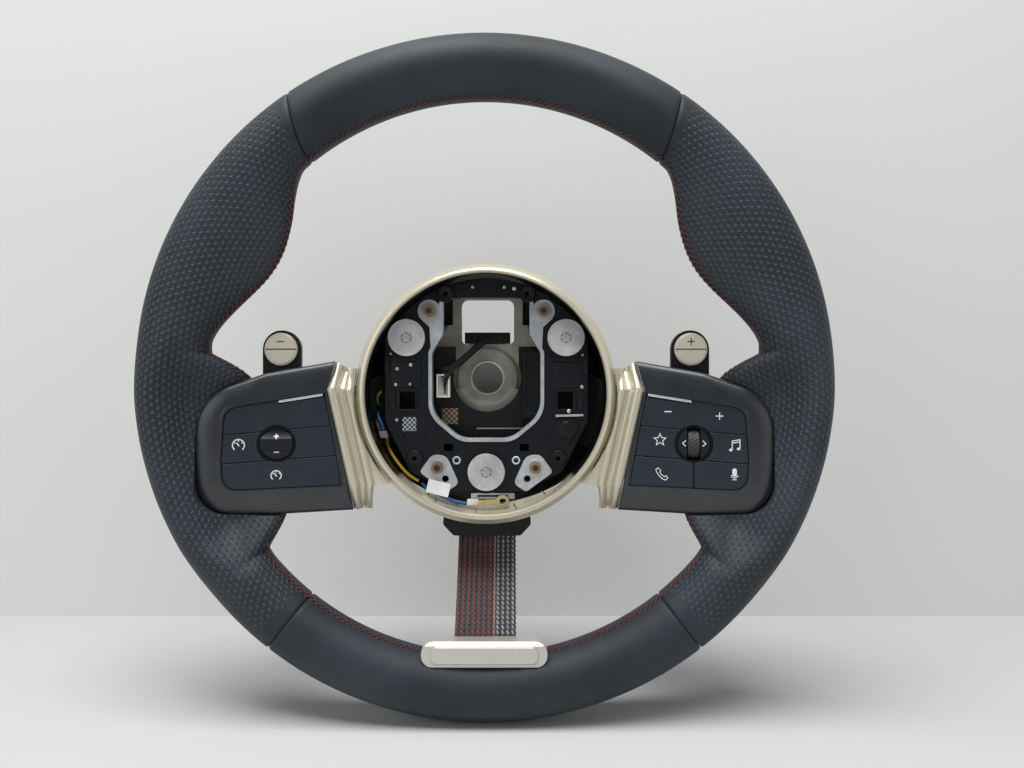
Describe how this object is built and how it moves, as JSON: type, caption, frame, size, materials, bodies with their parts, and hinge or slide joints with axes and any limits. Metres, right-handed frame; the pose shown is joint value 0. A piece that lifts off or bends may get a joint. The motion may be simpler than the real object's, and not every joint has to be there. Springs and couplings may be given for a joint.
{
  "type": "car steering wheel",
  "caption": "Leather-covered car steering wheel with switch pods, shift paddles, trim ring, woven lower strap and an open airbag well.",
  "frame": {"origin": "centre of the column bore at the face that seats on the column", "axes": "+Y along the column bore, away from the driver; +Z to twelve o'clock; +X to the driver's right"},
  "size_m": [0.3648, 0.0875, 0.3596],
  "materials": {
    "cast_alloy": "as cast, matt",
    "foam": "moulded foam skin",
    "leather": "satin leather, perforated on the grips",
    "badge_metal": "satin pale champagne",
    "webbing": "woven webbing in red, black and silver yarn",
    "satin_trim": "satin champagne",
    "black_plastic": "fine grain",
    "pod_plastic": "satin dark grey",
    "key_plastic": "satin blue-black",
    "roller_rubber": "knurled",
    "circuit_board": "lacquered",
    "light_guide": "frosted",
    "cap_metal": "satin",
    "steel": "bright",
    "zinc_steel": "zinc plated",
    "copper": "yellow passivated",
    "brass": "tinned",
    "tape": "cloth tape",
    "white_plastic": "moulded",
    "paper": "coated",
    "yellow_wire": "insulated wire",
    "blue_wire": "insulated wire",
    "grey_plastic": "moulded"
  },
  "bodies": {
    "wheel": {"armature": "cast_alloy", "rim_foam": "foam", "leather_top": "leather", "leather_left": "leather", "leather_right": "leather", "leather_bottom": "leather", "rim_badge": "badge_metal", "strap": "webbing", "hub_ring": "satin_trim", "wing_left": "satin_trim", "wing_right": "satin_trim", "strap_clip": "black_plastic", "rear_cover": "black_plastic", "inner_tray": "black_plastic", "control_box": "black_plastic", "bracket_left": "black_plastic", "bracket_right": "black_plastic", "window_plug": "black_plastic", "pod_left": "pod_plastic", "pod_right": "pod_plastic", "board_left": "circuit_board", "board_right": "circuit_board", "light_left": "light_guide", "light_right": "light_guide", "cover_screws": "steel", "roller_axle": "steel", "pin_left": "steel", "pin_right": "steel", "horn_springs": "steel", "ground_bar": "steel", "horn_screws": "zinc_steel", "ground_terminal": "brass", "taped_harness": "tape", "white_plug": "white_plastic", "lead_tag": "paper", "yellow_lead": "yellow_wire", "blue_leads": "blue_wire", "pod_wires": "blue_wire", "pod_plug": "grey_plastic"},
    "horn": {"horn_carrier": "black_plastic", "airbag_yoke": "zinc_steel", "yoke_bolts": "copper"},
    "left_paddle": {"paddle_left": "black_plastic", "cap_left": "cap_metal"},
    "right_paddle": {"paddle_right": "black_plastic", "cap_right": "cap_metal"},
    "speed_rocker": {"speed_rocker": "key_plastic"},
    "volume_key": {"volume_key": "key_plastic"},
    "thumb_roller": {"scroll_roller": "roller_rubber"},
    "set_key": {"set_key": "key_plastic"},
    "cruise_key": {"cruise_key": "key_plastic"},
    "spare_key": {"spare_key": "key_plastic"},
    "mode_key": {"mode_key": "key_plastic"},
    "star_key": {"star_key": "key_plastic"},
    "note_key": {"note_key": "key_plastic"},
    "phone_key": {"phone_key": "key_plastic"},
    "voice_key": {"voice_key": "key_plastic"},
    "back_key": {"back_key": "key_plastic"},
    "next_key": {"next_key": "key_plastic"}
  },
  "joints": [
    {"name": "horn_press", "type": "slide", "parent": "wheel", "child": "horn", "axis": [0, 1, 0], "range_m": [0, 0.0015], "stiffness_N_per_m": 4000, "deforming": ["horn_springs"]},
    {"name": "left_paddle_pull", "type": "hinge", "parent": "wheel", "child": "left_paddle", "pos_m": [-0.1114, -0.051, -0.01], "axis": [1, 0, 0], "range_deg": [0, 5], "stiffness_Nm_per_rad": 0.3},
    {"name": "right_paddle_pull", "type": "hinge", "parent": "wheel", "child": "right_paddle", "pos_m": [0.1114, -0.051, -0.01], "axis": [1, 0, 0], "range_deg": [0, 5], "stiffness_Nm_per_rad": 0.3},
    {"name": "set_key_press", "type": "slide", "parent": "wheel", "child": "set_key", "axis": [-0.1736, 0.9848, 0], "range_m": [0, 0.0005], "stiffness_N_per_m": 1200},
    {"name": "cruise_key_press", "type": "slide", "parent": "wheel", "child": "cruise_key", "axis": [-0.1736, 0.9848, 0], "range_m": [0, 0.0005], "stiffness_N_per_m": 1200},
    {"name": "spare_key_press", "type": "slide", "parent": "wheel", "child": "spare_key", "axis": [-0.1736, 0.9848, 0], "range_m": [0, 0.0005], "stiffness_N_per_m": 1200},
    {"name": "mode_key_press", "type": "slide", "parent": "wheel", "child": "mode_key", "axis": [-0.1736, 0.9848, 0], "range_m": [0, 0.0005], "stiffness_N_per_m": 1200},
    {"name": "star_key_press", "type": "slide", "parent": "wheel", "child": "star_key", "axis": [0.1736, 0.9848, 0], "range_m": [0, 0.0005], "stiffness_N_per_m": 1200},
    {"name": "note_key_press", "type": "slide", "parent": "wheel", "child": "note_key", "axis": [0.1736, 0.9848, 0], "range_m": [0, 0.0005], "stiffness_N_per_m": 1200},
    {"name": "phone_key_press", "type": "slide", "parent": "wheel", "child": "phone_key", "axis": [0.1736, 0.9848, 0], "range_m": [0, 0.0005], "stiffness_N_per_m": 1200},
    {"name": "voice_key_press", "type": "slide", "parent": "wheel", "child": "voice_key", "axis": [0.1736, 0.9848, 0], "range_m": [0, 0.0005], "stiffness_N_per_m": 1200},
    {"name": "back_key_press", "type": "slide", "parent": "wheel", "child": "back_key", "axis": [0.1736, 0.9848, 0], "range_m": [0, 0.0005], "stiffness_N_per_m": 1200},
    {"name": "next_key_press", "type": "slide", "parent": "wheel", "child": "next_key", "axis": [0.1736, 0.9848, 0], "range_m": [0, 0.0005], "stiffness_N_per_m": 1200},
    {"name": "speed_rocker_tip", "type": "hinge", "parent": "wheel", "child": "speed_rocker", "pos_m": [-0.11089, -0.06456, -0.035], "axis": [-0.9848, -0.1736, 0], "range_deg": [-2.5, 2.5], "stiffness_Nm_per_rad": 0.1},
    {"name": "volume_key_tip", "type": "hinge", "parent": "wheel", "child": "volume_key", "pos_m": [0.10839, -0.06493, -0.02], "axis": [0, 0, 1], "range_deg": [-1, 1], "stiffness_Nm_per_rad": 0.4},
    {"name": "thumb_roller_spin", "type": "hinge", "parent": "wheel", "child": "thumb_roller", "pos_m": [0.11103, -0.06377, -0.035], "axis": [0.9848, -0.1736, 0], "continuous": true}
  ]
}
